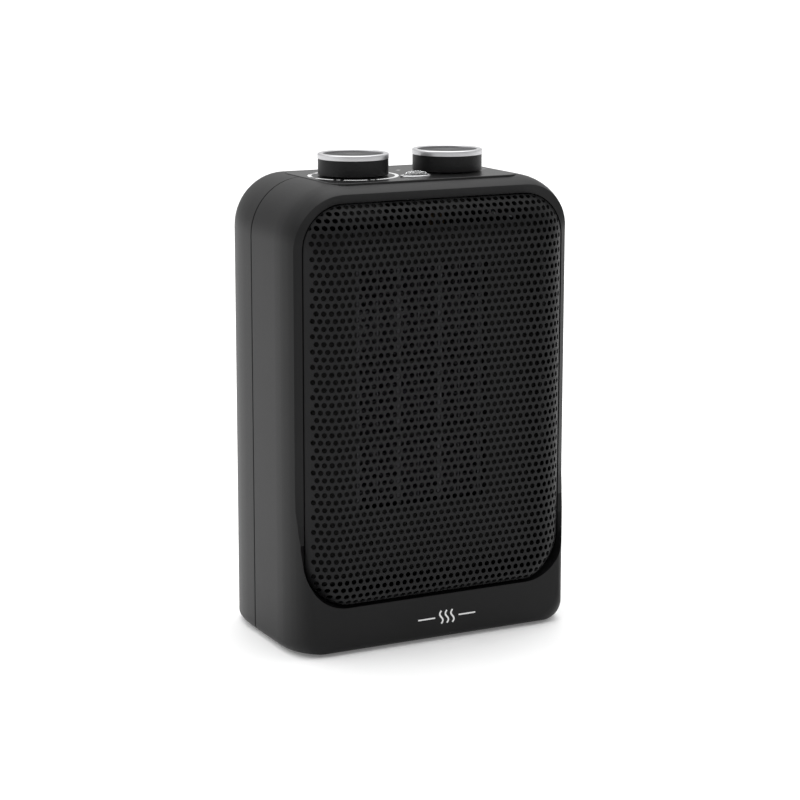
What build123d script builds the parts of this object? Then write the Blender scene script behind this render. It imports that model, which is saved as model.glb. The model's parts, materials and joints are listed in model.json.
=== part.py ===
"""Compact ceramic space heater, free standing, in millimetres.

+X is to the right, +Y to the back and +Z up. The origin is the bottom centre of the whole
object's box. Warm air leaves at the front through a domed perforated sheet, and cool air
enters at the back. Two knobs on top work a rotary switch and a thermostat.
"""
import os
from math import cos, radians, sin, sqrt

from build123d import *

# ---- casing ---------------------------------------------------------------------------
HALF_WIDTH = 83.6        # side face to the middle plane
TOP_Z = 249.7            # top of the shells
LOW_Z = 1.5              # underside of the shells, above the floor
GRILLE_Y = -51.0         # foremost point of the domed sheet
FACE_Y = -46.5           # front face of the front shell, seen below the outlet
SEAM_Y = 10.0            # parting plane of the two shells
BACK_Y = 49.5            # back face of the rear shell
REAR_TRIM_Y = 51.0       # rearmost point: rim of the intake grille and the cord gland
WALL = 2.4
TOP_RADIUS = 30.0        # upper corners seen from the front
LOW_RADIUS = 4.0         # lower corners seen from the front
FRONT_EDGES = ((9.1, 27.3), (10.0, 20.0), (3.2, 3.2), (13.0, 25.0))  # inset and depth of the soft
REAR_EDGES = ((12.0, 30.0), (12.0, 12.0), (4.0, 6.0), (5.0, 8.0))    # side, top, low edge and low corner
END_STEPS = (0, 6, 12, 19, 27, 36, 46, 57, 72, 90)  # steps of the rounded ends, degrees

# ---- outlet opening and perforated front sheet ------------------------------------------
OPEN_HALF = 77.3
OPEN_LOW = 27.4
OPEN_HIGH = 240.8
OPEN_RADIUS = 24.0
SEAT_Y = -41.0           # flat seat round the opening, at its sides and top
SEAT_HALF = 79.2
SEAT_HIGH = 243.2
SEAT_RADIUS = 26.0
SHEET = 0.8
SHEET_GAP = 0.7          # between the sheet and the opening's edge
SHEET_DEEP = 13.0        # how far the sheet reaches back from its front
FLAT_HALF = 57.6         # flat middle of the sheet
FLAT_LOW = 36.2
FLAT_HIGH = 219.8
SIDE_BEND = 23.0
TOP_BEND = 26.0
LOW_BEND = 9.5
SHEET_STEPS = (0, 0.15, 0.5, 1.1, 2.0, 3.2, 4.8, 6.6, 8.4, 10.0)  # depths of the dome's sections

# ---- control panel and knobs ------------------------------------------------------------
PANEL_HALF = 55.5
PANEL_FRONT = -34.0
PANEL_BACK = 33.0
PANEL_TOP = 250.0
PANEL_THICK = 2.4
PANEL_RADIUS = 8.0
DECK_THICK = 2.8         # ledge of the shells that carries the panel
KNOB_X = 28.4
KNOB_Y = -0.4
KNOB_RADIUS = 19.1
KNOB_BASE = 250.6
KNOB_TOP = 262.2
RIM_HEIGHT = 2.9
RIM_WIDTH = 3.0
SHAFT_RADIUS = 3.0
SHAFT_TOP = 257.6
PLATE_TOP = 240.2        # steel plate that carries the switch and the thermostat
PLATE_THICK = 1.2
LENS_Y = -18.0
LENS_LONG = 15.0
LENS_WIDE = 8.0
LENS_RISE = 3.0

# ---- heater core ------------------------------------------------------------------------
CORE_Z = 138.0           # height of the heater core and of the fan axis
CORE_FRONT = -23.0
CORE_DEPTH = 14.0
BAR_PITCH = 24.8
BAR_COUNT = 4
BAR_WIDE = 2.6
BAR_LONG = 134.0
STRIP_WIDE = 0.8
FIN_FOLD = 1.4           # fold to fold distance of the corrugated fins
FIN_SHIFT = 0.5          # half the fin sheet's level thickness
FRAME_HALF = 43.5
FRAME_TALL = 151.0
FRAME_WALL = 2.0
FLANGE_HALF = 72.0
FLANGE_TALL = 156.0
FLANGE_Y = -8.0
GUARD_HEIGHTS = (111.6, 151.2, 190.8)  # level bars across the frame's window

# ---- fan and motor ------------------------------------------------------------------------
FAN_RADIUS = 51.5
THROAT_RADIUS = 53.0
HUB_RADIUS = 13.0
BLADE_COUNT = 7
FAN_FRONT = 1.0
FAN_DEEP = 11.0
SPINDLE_RADIUS = 2.0
MOUNT_Y = 15.2
STATOR_FRONT = 20.0
STATOR_DEEP = 16.0
ROTOR_RADIUS = 12.3

# ---- fixings -----------------------------------------------------------------------------
BOSS_RADIUS = 4.5
BOSS_X = 66.0
BOSS_HEIGHTS = (30.0, 224.0)
FOOT_PLACES = [(-62.0, -24.0), (62.0, -24.0), (-62.0, 34.0), (62.0, 34.0)]
FOOT_RADIUS = 6.0
FOOT_SINK = 0.8
GLAND_X = 52.0
GLAND_Z = 26.0
GLAND_BORE = 3.7
TIP_X = 30.0
TIP_Y = -14.0
TIP_SEAT = 4.0           # bottom of the plunger guide's wide bore
TERMINAL_PLACES = (29.0, 39.0, 49.0)
TERMINAL_Y = 29.0

os.makedirs("parts", exist_ok=True)


def save(name, shape):
    """Write one sub-part to its own STEP file."""
    export_step(shape, f"parts/{name}.step")


def block(x, y, z):
    """A box from three (low, high) pairs."""
    size = [pair[1] - pair[0] for pair in (x, y, z)]
    middle = [(pair[1] + pair[0]) / 2 for pair in (x, y, z)]
    return Pos(*middle) * Box(*size)


def rod_z(x, y, radius, low, high):
    """An upright cylinder."""
    return Pos(x, y, (low + high) / 2) * Cylinder(radius, high - low)


def rod_y(x, z, radius, front, back):
    """A cylinder that runs front to back."""
    return Pos(x, (front + back) / 2, z) * Rot(90, 0, 0) * Cylinder(radius, back - front)


def rounded(half, low, high, high_radius, low_radius):
    """Upright rounded rectangle, drawn flat."""
    outline = Rectangle(2 * half, high - low)
    outline = fillet(outline.vertices().group_by(Axis.Y)[-1], high_radius)
    outline = fillet(outline.vertices().group_by(Axis.Y)[0], low_radius)
    return Pos(0, (low + high) / 2) * outline


def at_y(y, outline):
    """Stand a flat outline up in the plane at this y."""
    return Plane.XZ.offset(-y) * outline


def prism_y(outline, front, back):
    """Extrude a flat outline from front to back."""
    return extrude(at_y(front, outline), amount=back - front, dir=(0, 1, 0))


def prism_z(outline, low, high):
    """Extrude an outline drawn in plan upwards."""
    return extrude(Pos(0, 0, low) * outline, amount=high - low)


def soft(depth, inset_and_reach):
    """Inset of an elliptical edge at a depth behind the face that it rounds into."""
    inset, reach = inset_and_reach
    left = max(0.0, 1.0 - depth / reach)
    return inset * (1.0 - sqrt(1.0 - left * left))


# ---- casing shells -------------------------------------------------------------------------
def casing_outline(depth, edges, shrink=0.0):
    """Casing section at a depth behind an end face, shrunk evenly by a wall."""
    side, top, low, corner = [soft(depth, edge) for edge in edges]
    return rounded(
        HALF_WIDTH - side - shrink,
        LOW_Z + low + shrink,
        TOP_Z - top - shrink,
        TOP_RADIUS - 0.5 * (side + top) - shrink,
        max(1.2, LOW_RADIUS + corner - shrink),
    )


def casing_end(face, inward, edges, shrink, reach_to):
    """Rounded end of the casing, from its face to where it meets the other half."""
    longest = max(reach for inset, reach in edges)
    sections = []
    for angle in END_STEPS:
        depth = longest * (1 - cos(radians(angle)))
        sections.append(at_y(face + inward * (depth + shrink), casing_outline(depth, edges, shrink)))
    straight = casing_outline(longest, edges, shrink)
    start = face + inward * (longest + shrink)
    rounded_end = loft(sections, ruled=True)
    return rounded_end + prism_y(straight, min(start, reach_to), max(start, reach_to))


def front_casing(shrink, reach_to):
    """Solid front half of the casing."""
    return casing_end(FACE_Y, 1, FRONT_EDGES, shrink, reach_to)


def rear_casing(shrink, reach_to):
    """Solid rear half of the casing."""
    return casing_end(BACK_Y, -1, REAR_EDGES, shrink, reach_to)


def opening(grow):
    """Outline of the outlet opening, grown evenly."""
    radius = OPEN_RADIUS + grow
    return rounded(OPEN_HALF + grow, OPEN_LOW - grow, OPEN_HIGH + grow, radius, radius)


def panel_outline(grow):
    """Outline of the control panel in plan."""
    deep = PANEL_BACK - PANEL_FRONT + 2 * grow
    return Pos(0, (PANEL_BACK + PANEL_FRONT) / 2) * RectangleRounded(
        2 * (PANEL_HALF + grow), deep, PANEL_RADIUS + grow)


def deck(front, back):
    """Ledge inside the top of a shell, on which the panel lies."""
    top = PANEL_TOP - PANEL_THICK
    return block((-60, 60), (front, back), (top - DECK_THICK, top))


def panel_pocket():
    """Space for the panel, down to the deck."""
    return prism_z(panel_outline(0.3), PANEL_TOP - PANEL_THICK, PANEL_TOP + 5)


def boss_places():
    """The four casing screws, seen from the front."""
    return [(side * BOSS_X, height) for side in (-1, 1) for height in BOSS_HEIGHTS]


def boss_web(x, z, front, back):
    """Web that ties a screw boss to the side wall."""
    wide = sorted((x, HALF_WIDTH if x > 0 else -HALF_WIDTH))
    return block(wide, (front, back), (z - 1.2, z + 1.2))


def foot_recesses():
    """Round recesses for the feet."""
    return [rod_z(x, y, FOOT_RADIUS + 0.2, LOW_Z - 1, LOW_Z + FOOT_SINK) for x, y in FOOT_PLACES]


def duct_screw_places():
    """The four screws that hold the heater frame and the fan shroud."""
    return [(side * 68.0, CORE_Z + rise) for side in (-1, 1) for rise in (-58.0, 58.0)]


def panel_screw_places():
    """The four small screws under the control panel."""
    return [(x, y) for x in (-48.0, 48.0) for y in (-27.0, 26.0)]


def plate_screw_places():
    """The four screws that hold the control plate."""
    return [(x, y) for x in (-47.0, 47.0) for y in (-8.0, 9.0)]


def front_shell():
    """Front half of the casing, with the outlet opening, its collar and its seat."""
    shell = front_casing(0, SEAM_Y) - front_casing(WALL, SEAM_Y + 5)
    shell += prism_y(opening(2.6), SEAT_Y - 2, SEAT_Y + 4) & front_casing(0.4, SEAM_Y)
    shell -= prism_y(opening(0), FACE_Y - 1, SEAT_Y + 5)
    seat = rounded(SEAT_HALF, OPEN_LOW, SEAT_HIGH, SEAT_RADIUS, OPEN_RADIUS)
    shell -= prism_y(seat, FACE_Y - 1, SEAT_Y)
    tongue_outer = casing_outline(99, FRONT_EDGES, 1.3)
    tongue_inner = casing_outline(99, FRONT_EDGES, WALL)
    tongue = prism_y(tongue_outer, SEAM_Y - 1, SEAM_Y + 2.6)
    shell += tongue - prism_y(tongue_inner, SEAM_Y - 2, SEAM_Y + 3)
    inside = front_casing(0.6, SEAM_Y)
    additions = [deck(PANEL_FRONT - 3, SEAM_Y)]
    for x, z in boss_places():
        additions.append(rod_y(x, z, BOSS_RADIUS, -22, SEAM_Y))
        additions.append(boss_web(x, z, -22, SEAM_Y))
    for x, z in duct_screw_places():
        wide = sorted((x - 4.5 if x > 0 else x + 4.5, 81.8 if x > 0 else -81.8))
        additions.append(block(wide, (FLANGE_Y - 10, FLANGE_Y - 0.05), (z - 4.5, z + 4.5)))
    for x, y in plate_screw_places():
        additions.append(rod_z(x, y, 3.5, PLATE_TOP, PANEL_TOP - PANEL_THICK - 1))
    additions.append(rod_z(TIP_X, TIP_Y, 6.8, LOW_Z + 1, 14))
    for extra in additions:
        shell += extra & inside
    shell -= panel_pocket()
    for x, z in boss_places():
        shell -= rod_y(x, z, 1.3, -12, SEAM_Y + 3)
    for x, z in duct_screw_places():
        shell -= rod_y(x, z, 1.3, FLANGE_Y - 8.5, FLANGE_Y)
    for x, y in plate_screw_places():
        shell -= rod_z(x, y, 1.1, PLATE_TOP - 1, PLATE_TOP + 5)
    for x, y in panel_screw_places():
        if y < SEAM_Y:
            shell -= rod_z(x, y, 1.4, 240, PANEL_TOP)
    for x in (-KNOB_X, KNOB_X):
        shell -= rod_z(x, KNOB_Y, 7.0, 243, PANEL_TOP)
    shell -= prism_z(Pos(0, LENS_Y) * SlotOverall(LENS_LONG + 1, LENS_WIDE + 1), 243, PANEL_TOP)
    for recess in foot_recesses():
        shell -= recess
    shell -= rod_z(TIP_X, TIP_Y, 3.3, 0, 8)
    shell -= rod_z(TIP_X, TIP_Y, 4.9, TIP_SEAT, 15)
    return shell


def rear_shell():
    """Rear half of the casing, with the intake opening and the cord hole."""
    shell = rear_casing(0, SEAM_Y) - rear_casing(WALL, SEAM_Y - 5)
    rebate = casing_outline(99, REAR_EDGES, 1.15)
    shell -= prism_y(rebate, SEAM_Y - 1, SEAM_Y + 2.8)
    inside = rear_casing(0.6, SEAM_Y)
    additions = [deck(SEAM_Y + 2.8, PANEL_BACK + 3)]
    for x, z in boss_places():
        additions.append(rod_y(x, z, BOSS_RADIUS, SEAM_Y + 0.1, BACK_Y - 1))
        additions.append(boss_web(x, z, SEAM_Y + 2.8, BACK_Y - 1))
    for extra in additions:
        shell += extra & inside
    shell -= panel_pocket()
    shell -= prism_y(intake_outline(0), BACK_Y - 6, BACK_Y + 2)
    for x, z in boss_places():
        shell -= rod_y(x, z, 1.8, SEAM_Y - 1, BACK_Y)
        shell -= rod_y(x, z, 3.6, BACK_Y - 17, BACK_Y + 2)
    for x, y in panel_screw_places():
        if y > SEAM_Y:
            shell -= rod_z(x, y, 1.4, 240, PANEL_TOP)
    shell -= rod_y(GLAND_X, GLAND_Z, 6.2, BACK_Y - 6, BACK_Y + 2)
    for recess in foot_recesses():
        shell -= recess
    return shell


# ---- perforated sheet and intake grille --------------------------------------------------
def bend(run_radius, depth):
    """How far a bent edge runs outwards at a depth behind the flat."""
    depth = min(depth, run_radius)
    return sqrt(2 * run_radius * depth - depth * depth)


def sheet_outline(depth, inset):
    """Section of the domed sheet at a depth behind its flat."""
    corner = 6.0 + (OPEN_RADIUS - SHEET_GAP - 6.0) * min(1.0, depth / 10.0) ** 0.5
    half = min(FLAT_HALF + bend(SIDE_BEND, depth), OPEN_HALF - SHEET_GAP) - inset
    low = max(FLAT_LOW - bend(LOW_BEND, depth), OPEN_LOW + SHEET_GAP) + inset
    high = min(FLAT_HIGH + bend(TOP_BEND, depth), OPEN_HIGH - SHEET_GAP) - inset
    return rounded(half, low, high, corner, corner)


def domed(front, inset, back):
    """Solid form of the dome, flat in the middle and bent back all round."""
    sections = [at_y(front + depth, sheet_outline(depth, inset)) for depth in SHEET_STEPS]
    deepest = SHEET_STEPS[-1]
    return loft(sections, ruled=True) + prism_y(sheet_outline(deepest, inset), front + deepest, back)


def front_grille():
    """Domed steel sheet over the warm air outlet."""
    back = GRILLE_Y + SHEET_DEEP
    return domed(GRILLE_Y, 0, back) - domed(GRILLE_Y + SHEET, SHEET, back + 1)


def intake_outline(grow):
    """Outline of the air intake at the back."""
    return rounded(52 + grow, 70 - grow, 206 + grow, 9 + grow, 9 + grow)


def rear_grille():
    """Moulded intake grille with level slots, a raised rim and a flange inside."""
    grille = prism_y(intake_outline(-0.3), BACK_Y - 4, REAR_TRIM_Y)
    grille += prism_y(intake_outline(3), BACK_Y - WALL - 1.8, BACK_Y - WALL - 0.05)
    grille -= prism_y(intake_outline(-4), BACK_Y - 8, BACK_Y - 1.4)
    grille -= prism_y(intake_outline(-3), BACK_Y + 0.4, REAR_TRIM_Y + 1)
    for row in range(21):
        z = 78.0 + row * 6.0
        for x in (-32.0, 0.0, 32.0):
            slot = Pos(x, z) * SlotOverall(28, 3.4)
            grille -= prism_y(slot, BACK_Y - 8, REAR_TRIM_Y + 1)
    return grille


# ---- control panel, knobs and indicator -----------------------------------------------------
def control_panel():
    """Gloss panel let into the top, with holes for the shafts and the lens."""
    low = PANEL_TOP - PANEL_THICK
    panel = prism_z(panel_outline(0), low, PANEL_TOP)
    rim = panel.edges().group_by(Axis.Z)[-1]
    panel = fillet(rim, 0.5)
    for x in (-KNOB_X, KNOB_X):
        panel -= rod_z(x, KNOB_Y, 3.6, low - 1, PANEL_TOP + 1)
    panel -= prism_z(Pos(0, LENS_Y) * SlotOverall(LENS_LONG - 2, LENS_WIDE - 2), low - 1, PANEL_TOP + 1)
    for x, y in panel_screw_places():
        panel -= rod_z(x, y, 1.0, low - 1, PANEL_TOP - 0.7)
    return panel


def knob_body(x):
    """Turned grip with a hollow underside and a socket for the shaft."""
    top = KNOB_TOP - RIM_HEIGHT
    body = rod_z(x, KNOB_Y, KNOB_RADIUS - 0.2, KNOB_BASE, top)
    body -= rod_z(x, KNOB_Y, KNOB_RADIUS - 2.4, KNOB_BASE - 1, top - 2.0)
    body += rod_z(x, KNOB_Y, 5.5, KNOB_BASE + 0.4, top - 1)
    body -= rod_z(x, KNOB_Y, SHAFT_RADIUS + 0.02, KNOB_BASE - 1, SHAFT_TOP + 0.1)
    return body


def knob_rim(x):
    """Bright rim round the knob's top, with a softly rounded edge."""
    rim = rod_z(x, KNOB_Y, KNOB_RADIUS, KNOB_TOP - RIM_HEIGHT, KNOB_TOP)
    rim = fillet(rim.edges().group_by(Axis.Z)[-1], 0.6)
    return rim - rod_z(x, KNOB_Y, KNOB_RADIUS - RIM_WIDTH, KNOB_TOP - 5, KNOB_TOP + 1)


def knob_cap(x):
    """Satin disc inside the rim, with a pointer groove towards the front."""
    top = KNOB_TOP - 1.1
    cap = rod_z(x, KNOB_Y, KNOB_RADIUS - RIM_WIDTH - 0.05, KNOB_TOP - RIM_HEIGHT, top)
    groove_end = KNOB_Y - KNOB_RADIUS + RIM_WIDTH + 1.2
    return cap - block((x - 0.6, x + 0.6), (groove_end, groove_end + 6.5), (top - 0.5, top + 1))


def knob_shaft(x):
    """Turning shaft of a control, flattened where the knob grips it."""
    shaft = rod_z(x, KNOB_Y, SHAFT_RADIUS, PLATE_TOP - 6, SHAFT_TOP)
    return shaft - block((x + 2.2, x + 5), (KNOB_Y - 5, KNOB_Y + 5), (KNOB_BASE, SHAFT_TOP + 1))


def threaded_bush(x, body):
    """Add the fixing bush of a control to its body and bore it for the shaft."""
    body += rod_z(x, KNOB_Y, 4.5, PLATE_TOP - PLATE_THICK - 1, PLATE_TOP + 4)
    return body - rod_z(x, KNOB_Y, SHAFT_RADIUS + 0.06, PLATE_TOP - 6.2, PLATE_TOP + 6)


def mode_switch():
    """Rotary switch with four blade terminals."""
    low = PLATE_TOP - PLATE_THICK - 14
    body = block((-KNOB_X - 14, -KNOB_X + 14), (KNOB_Y - 12, KNOB_Y + 12), (low, PLATE_TOP - PLATE_THICK))
    body = fillet(body.edges().filter_by(Axis.Z), 4)
    for blade in range(4):
        x = -KNOB_X - 9 + 6 * blade
        body += block((x - 0.4, x + 0.4), (KNOB_Y - 3.2, KNOB_Y + 3.2), (low - 7, low + 1))
    return threaded_bush(-KNOB_X, body)


def thermostat():
    """Room thermostat body with its bush and two blade terminals."""
    low = PLATE_TOP - PLATE_THICK - 10
    body = rod_z(KNOB_X, KNOB_Y, 12, low, PLATE_TOP - PLATE_THICK)
    for x in (KNOB_X - 6, KNOB_X + 6):
        body += block((x - 0.4, x + 0.4), (KNOB_Y - 3.2, KNOB_Y + 3.2), (low - 8, low + 1))
    return threaded_bush(KNOB_X, body)


def bimetal_arm():
    """Sensing strip of the thermostat, reaching down into the intake air."""
    low = PLATE_TOP - PLATE_THICK - 10
    return block((KNOB_X - 5, KNOB_X + 5), (KNOB_Y + 12.02, KNOB_Y + 12.6), (low - 22, low + 6))


def hexagon_nut(x):
    """Thin hexagon nut that fixes a control to the plate."""
    ring = Pos(x, KNOB_Y) * (RegularPolygon(7.2, 6) - Circle(4.55))
    return prism_z(ring, PLATE_TOP + 0.05, PLATE_TOP + 2.2)


def control_plate():
    """Folded steel plate under the deck that carries both controls."""
    low = PLATE_TOP - PLATE_THICK
    plate = block((-52, 52), (-11.5, 14.0), (low, PLATE_TOP))
    plate += block((-52, 52), (14.0 - PLATE_THICK, 14.0), (low - 5, PLATE_TOP))
    for x in (-KNOB_X, KNOB_X):
        plate -= rod_z(x, KNOB_Y, 4.6, low - 1, PLATE_TOP + 1)
    for x, y in plate_screw_places():
        plate -= rod_z(x, y, 1.5, low - 1, PLATE_TOP + 1)
    return plate


def indicator_lens():
    """Clear oval lens with a domed top and a collar under the panel."""
    stretch = (LENS_LONG / LENS_WIDE, 1, 2 * LENS_RISE / LENS_WIDE)
    dome = Pos(0, LENS_Y, PANEL_TOP) * scale(Sphere(LENS_WIDE / 2), by=stretch)
    dome &= block((-20, 20), (LENS_Y - 20, LENS_Y + 20), (PANEL_TOP + 0.02, PANEL_TOP + 20))
    neck = Pos(0, LENS_Y) * SlotOverall(LENS_LONG - 2.2, LENS_WIDE - 2.2)
    bore = Pos(0, LENS_Y) * SlotOverall(LENS_LONG - 5, LENS_WIDE - 4.4)
    lens = dome + prism_z(neck, PANEL_TOP - 4, PANEL_TOP + 0.5)
    return lens - prism_z(bore, PANEL_TOP - 5, PANEL_TOP + 0.8)


def lens_bezel():
    """Bright oval ring round the lens, lying on the panel."""
    outer = Ellipse(LENS_LONG / 2 + 1.4, LENS_WIDE / 2 + 1.4)
    inner = Ellipse(LENS_LONG / 2 + 0.1, LENS_WIDE / 2 + 0.1)
    return prism_z(Pos(0, LENS_Y) * (outer - inner), PANEL_TOP, PANEL_TOP + 0.8)


def neon_lamp():
    """Neon indicator lamp."""
    bulb = rod_z(0, LENS_Y, 2.6, 234, 243)
    return bulb + Pos(0, LENS_Y, 243) * Sphere(2.6)


def lamp_holder():
    """Clip that holds the lamp under the lens."""
    holder = rod_z(0, LENS_Y, 4.2, 233, 244.7)
    return holder - rod_z(0, LENS_Y, 2.7, 233.9, 246)


# ---- heater core ---------------------------------------------------------------------------
def bar_places():
    """Middle of each electrode bar."""
    return [(index - (BAR_COUNT - 1) / 2) * BAR_PITCH for index in range(BAR_COUNT)]


def strip_places():
    """Middle of each thin strip between two fin stacks."""
    return [(index - (BAR_COUNT - 2) / 2) * BAR_PITCH for index in range(BAR_COUNT - 1)]


CORE_BACK = CORE_FRONT + CORE_DEPTH
CORE_MIDDLE = CORE_FRONT + CORE_DEPTH / 2
BAR_LOW = CORE_Z - BAR_LONG / 2
BAR_HIGH = CORE_Z + BAR_LONG / 2


def ptc_bars():
    """Flat aluminium tubes that carry the heating tiles."""
    bars = []
    for x in bar_places():
        tube = block((x - BAR_WIDE / 2, x + BAR_WIDE / 2), (CORE_FRONT, CORE_BACK), (BAR_LOW, BAR_HIGH))
        tube -= block((x - 0.8, x + 0.8), (CORE_FRONT + 1.2, CORE_BACK - 1.2), (BAR_LOW - 1, BAR_HIGH + 1))
        bars.append(tube)
    return Compound(bars)


def ptc_tiles():
    """Ceramic heating tiles inside the tubes."""
    tiles = []
    for x in bar_places():
        for row in range(5):
            low = BAR_LOW + 4.0 + row * 25.4
            tiles.append(block((x - 0.75, x + 0.75), (CORE_FRONT + 1.6, CORE_BACK - 1.6), (low, low + 24.4)))
    return Compound(tiles)


def ptc_strips():
    """Thin contact strips, each with a blade terminal above the core."""
    strips = []
    for x in strip_places():
        wide = (x - STRIP_WIDE / 2, x + STRIP_WIDE / 2)
        strip = block(wide, (CORE_FRONT + 1, CORE_BACK - 1), (BAR_LOW, BAR_HIGH))
        strip += block(wide, (CORE_MIDDLE - 3.15, CORE_MIDDLE + 3.15), (BAR_HIGH - 1, BAR_HIGH + 18))
        strips.append(strip)
    return Compound(strips)


def fin_stack(left, right):
    """One corrugated fin folded between two upright plates."""
    low = BAR_LOW + 2.0
    folds = int((BAR_LONG - 4.0) / FIN_FOLD)
    one_side = []
    other_side = []
    for fold in range(folds + 1):
        x = left + FIN_SHIFT if fold % 2 == 0 else right - FIN_SHIFT
        z = low + fold * FIN_FOLD
        one_side.append((x - FIN_SHIFT, z))
        other_side.append((x + FIN_SHIFT, z))
    face = make_face(Polyline(*one_side, *reversed(other_side), close=True))
    return prism_y(face, CORE_FRONT + 1, CORE_BACK - 1)


def ptc_fins():
    """Corrugated aluminium fins on both sides of each strip."""
    gap = 0.1
    stacks = []
    for x in strip_places():
        near = STRIP_WIDE / 2 + gap
        far = BAR_PITCH / 2 - BAR_WIDE / 2 - gap
        stacks.append(fin_stack(x - far, x - near))
        stacks.append(fin_stack(x + near, x + far))
    return Compound(stacks)


def core_holder(low, high, slotted):
    """Heat resistant end piece that keeps the core's bars in place."""
    holder = block((-41.4, 41.4), (CORE_FRONT, CORE_BACK), (low, high))
    holder = fillet(holder.edges().filter_by(Axis.Y), 1.5)
    if slotted:
        for x in strip_places():
            deep = (CORE_MIDDLE - 3.4, CORE_MIDDLE + 3.4)
            holder -= block((x - 0.6, x + 0.6), deep, (low - 1, high + 1))
    return holder


def heater_frame():
    """Box round the core with a baffle in front and a flange behind."""
    low = CORE_Z - FRAME_TALL / 2
    high = CORE_Z + FRAME_TALL / 2
    front = CORE_FRONT - 4
    flange_high = (CORE_Z - FLANGE_TALL / 2, CORE_Z + FLANGE_TALL / 2)
    room = (-FRAME_HALF + FRAME_WALL, FRAME_HALF - FRAME_WALL)
    frame = block((-FRAME_HALF, FRAME_HALF), (front, FLANGE_Y + 2), (low, high))
    frame += block((-FLANGE_HALF, FLANGE_HALF), (FLANGE_Y, FLANGE_Y + 2), flange_high)
    frame -= block(room, (CORE_FRONT - 0.1, FLANGE_Y + 3), (low + FRAME_WALL, high - FRAME_WALL))
    frame += block((-73, 73), (front, front + FRAME_WALL), (34, 224))
    frame -= block((-39.5, 39.5), (front - 1, CORE_FRONT + 1), (CORE_Z - 66, CORE_Z + 66))
    for z in GUARD_HEIGHTS:
        frame += block((-40, 40), (front, front + 1.2), (z - 0.8, z + 0.8))
    for x in strip_places():
        frame -= block((x - 1.5, x + 1.5), (CORE_MIDDLE - 4, CORE_MIDDLE + 4), (high - 5, high + 1))
    for x, z in duct_screw_places():
        frame -= rod_y(x, z, 1.8, FLANGE_Y - 1, FLANGE_Y + 3)
    return frame


def thermal_cutout():
    """Resettable disc cut-out on the side of the heater frame."""
    x = FRAME_HALF + 0.05
    disc = Pos(x + 3.5, -17, CORE_Z + 30) * Rot(0, 90, 0) * Cylinder(8, 7)
    for y in (-20, -14):
        disc += block((x + 6, x + 15), (y - 0.4, y + 0.4), (CORE_Z + 27, CORE_Z + 33))
    return disc


def thermal_fuse():
    """One-shot fuse with its two leads, in a line beside the frame."""
    x = -FRAME_HALF - 3.0
    fuse = rod_z(x, -17, 2.0, CORE_Z + 20, CORE_Z + 32)
    return fuse + rod_z(x, -17, 0.5, CORE_Z + 4, CORE_Z + 48)


# ---- fan and motor -----------------------------------------------------------------------------
def mount_posts():
    """Where the motor mount is screwed to the shroud, seen from the front."""
    return [(60.0, CORE_Z), (-60.0, CORE_Z), (0.0, CORE_Z + 60.0), (0.0, CORE_Z - 60.0)]


def fan_shroud():
    """Plate behind the core with a round throat for the fan and four posts."""
    front = FLANGE_Y + 2.05
    shroud = block((-FLANGE_HALF, FLANGE_HALF), (front, front + 2),
                   (CORE_Z - FLANGE_TALL / 2, CORE_Z + FLANGE_TALL / 2))
    shroud += rod_y(0, CORE_Z, THROAT_RADIUS + 2, front, MOUNT_Y - 1)
    for x, z in mount_posts():
        shroud += rod_y(x, z, 4, front, MOUNT_Y - 0.05)
    shroud -= rod_y(0, CORE_Z, THROAT_RADIUS, front - 1, MOUNT_Y + 1)
    for x, z in mount_posts():
        shroud -= rod_y(x, z, 1.2, MOUNT_Y - 10, MOUNT_Y + 1)
    for x, z in duct_screw_places():
        shroud -= rod_y(x, z, 1.8, front - 1, front + 3)
    return shroud


def motor_mount():
    """Steel cross that holds the motor behind the fan."""
    arm = 65.0
    cross = block((-arm, arm), (MOUNT_Y, MOUNT_Y + 1.5), (CORE_Z - 6, CORE_Z + 6))
    cross += block((-6, 6), (MOUNT_Y, MOUNT_Y + 1.5), (CORE_Z - arm, CORE_Z + arm))
    cross += rod_y(0, CORE_Z, 30, MOUNT_Y, MOUNT_Y + 1.5)
    cross -= rod_y(0, CORE_Z, 9, MOUNT_Y - 1, MOUNT_Y + 3)
    for x, z in mount_posts():
        cross -= rod_y(x, z, 1.7, MOUNT_Y - 1, MOUNT_Y + 3)
    for x in (-24, 24):
        cross -= rod_y(x, CORE_Z, 1.8, MOUNT_Y - 1, MOUNT_Y + 3)
    return cross


def blade(angle):
    """One fan blade, twisted from root to tip."""
    root = Plane(origin=(HUB_RADIUS - 1.5, 0, 0), x_dir=(0, 1, 0), z_dir=(1, 0, 0))
    tip = Plane(origin=(FAN_RADIUS, 0, 0), x_dir=(0, 1, 0), z_dir=(1, 0, 0))
    root_face = root * Rot(0, 0, 44) * RectangleRounded(1.8, 13.0, 0.7)
    tip_face = tip * Rot(0, 0, 64) * RectangleRounded(1.4, 22.0, 0.6)
    shape = loft([root_face, tip_face])
    return Pos(0, FAN_FRONT + FAN_DEEP / 2, CORE_Z) * Rot(0, angle, 0) * shape


def fan_impeller():
    """Axial fan with a hub and twisted blades."""
    fan = rod_y(0, CORE_Z, HUB_RADIUS, FAN_FRONT, FAN_FRONT + FAN_DEEP)
    for index in range(BLADE_COUNT):
        fan += blade(360 / BLADE_COUNT * index)
    fan &= rod_y(0, CORE_Z, FAN_RADIUS, FAN_FRONT, FAN_FRONT + FAN_DEEP)
    fan -= rod_y(0, CORE_Z, HUB_RADIUS - 2, FAN_FRONT + 3, FAN_FRONT + FAN_DEEP + 1)
    fan += rod_y(0, CORE_Z, 5, FAN_FRONT, FAN_FRONT + FAN_DEEP - 1)
    return fan - rod_y(0, CORE_Z, SPINDLE_RADIUS + 0.02, FAN_FRONT - 1, FAN_FRONT + FAN_DEEP + 1)


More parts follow.
